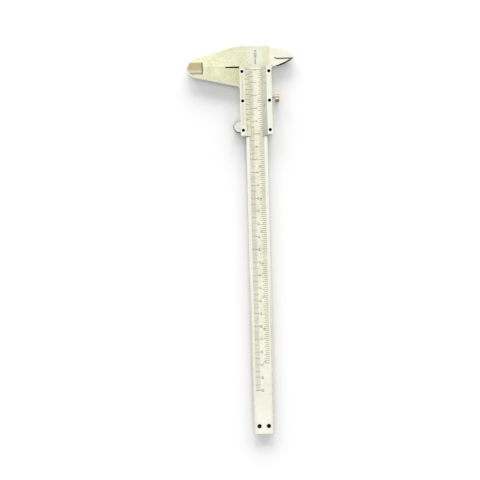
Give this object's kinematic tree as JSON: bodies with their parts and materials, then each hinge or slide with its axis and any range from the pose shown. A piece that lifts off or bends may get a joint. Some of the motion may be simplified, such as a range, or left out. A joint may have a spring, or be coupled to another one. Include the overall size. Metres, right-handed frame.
{
  "type": "vernier caliper",
  "caption": "Steel vernier caliper with outside jaws, crossed inside jaws, metric and inch scales, thumb wheel, brass lock screw and depth rod, lying closed.",
  "frame": {"origin": "bottom centre of the caliper's box, on the surface that its back rests on", "axes": "+Y along the beam towards the head, +X across the beam towards the inside jaws, +Z out of the graduated face"},
  "size_m": [0.0844, 0.3026, 0.008],
  "materials": {
    "beam_steel": "satin chrome, fine mottle, bright ground edges",
    "jaw_steel": "satin, mottled yellow-green",
    "back_plate_steel": "satin",
    "metric_vernier_steel": "satin beige face with a bright ground rail",
    "inch_vernier_steel": "satin grey-green face with a bright ground rail",
    "black_screw": "black oxide",
    "pin_steel": "bright turned",
    "spring_steel": "blued spring steel",
    "knob_brass": "polished, knurled",
    "wheel_steel": "bright, knurled rim",
    "rod_steel": "ground lengthwise"
  },
  "bodies": {
    "beam": {"main_beam": "beam_steel", "end_plate": "back_plate_steel", "end_plate_screw_left": "black_screw", "end_plate_screw_right": "black_screw"},
    "slider": {"outside_jaw_plate": "jaw_steel", "inside_jaw_plate": "jaw_steel", "slider_back_plate": "back_plate_steel", "metric_vernier_plate": "metric_vernier_steel", "inch_vernier_plate": "inch_vernier_steel", "cover_screw_1": "black_screw", "cover_screw_2": "black_screw", "cover_screw_3": "black_screw", "cover_screw_4": "black_screw", "cover_screw_5": "black_screw", "cover_screw_6": "black_screw", "back_screw_1": "pin_steel", "back_screw_2": "pin_steel", "back_screw_3": "pin_steel", "back_screw_4": "pin_steel", "depth_rod": "rod_steel", "depth_rod_rivet": "pin_steel", "thumb_wheel_pin": "pin_steel"},
    "gib": {"gib_strip": "spring_steel"},
    "lock_screw": {"lock_screw": "knob_brass"},
    "thumb_wheel": {"thumb_wheel": "wheel_steel"}
  },
  "joints": [
    {"name": "slider_slide", "type": "slide", "parent": "beam", "child": "slider", "axis": [0, -1, 0], "range_m": [0, 0.2228]},
    {"name": "thumb_wheel_spin", "type": "hinge", "parent": "slider", "child": "thumb_wheel", "pos_m": [-0.0017, 0.08905, 0], "axis": [0, 0, 1], "range_deg": [0, 2520]},
    {"name": "gib_slide", "type": "slide", "parent": "slider", "child": "gib", "axis": [-1, 0, 0], "range_m": [-0.0002, 0.000066]},
    {"name": "lock_screw_turn", "type": "hinge", "parent": "gib", "child": "lock_screw", "pos_m": [0.02485, 0.11125, 0.004], "axis": [-1, 0, 0], "range_deg": [-190, 70]}
  ],
  "couplings": [
    {"joint": "thumb_wheel_spin", "follows": "slider_slide", "rad_per_m": 196.08},
    {"joint": "lock_screw_turn", "follows": "gib_slide", "rad_per_m": 15708}
  ]
}
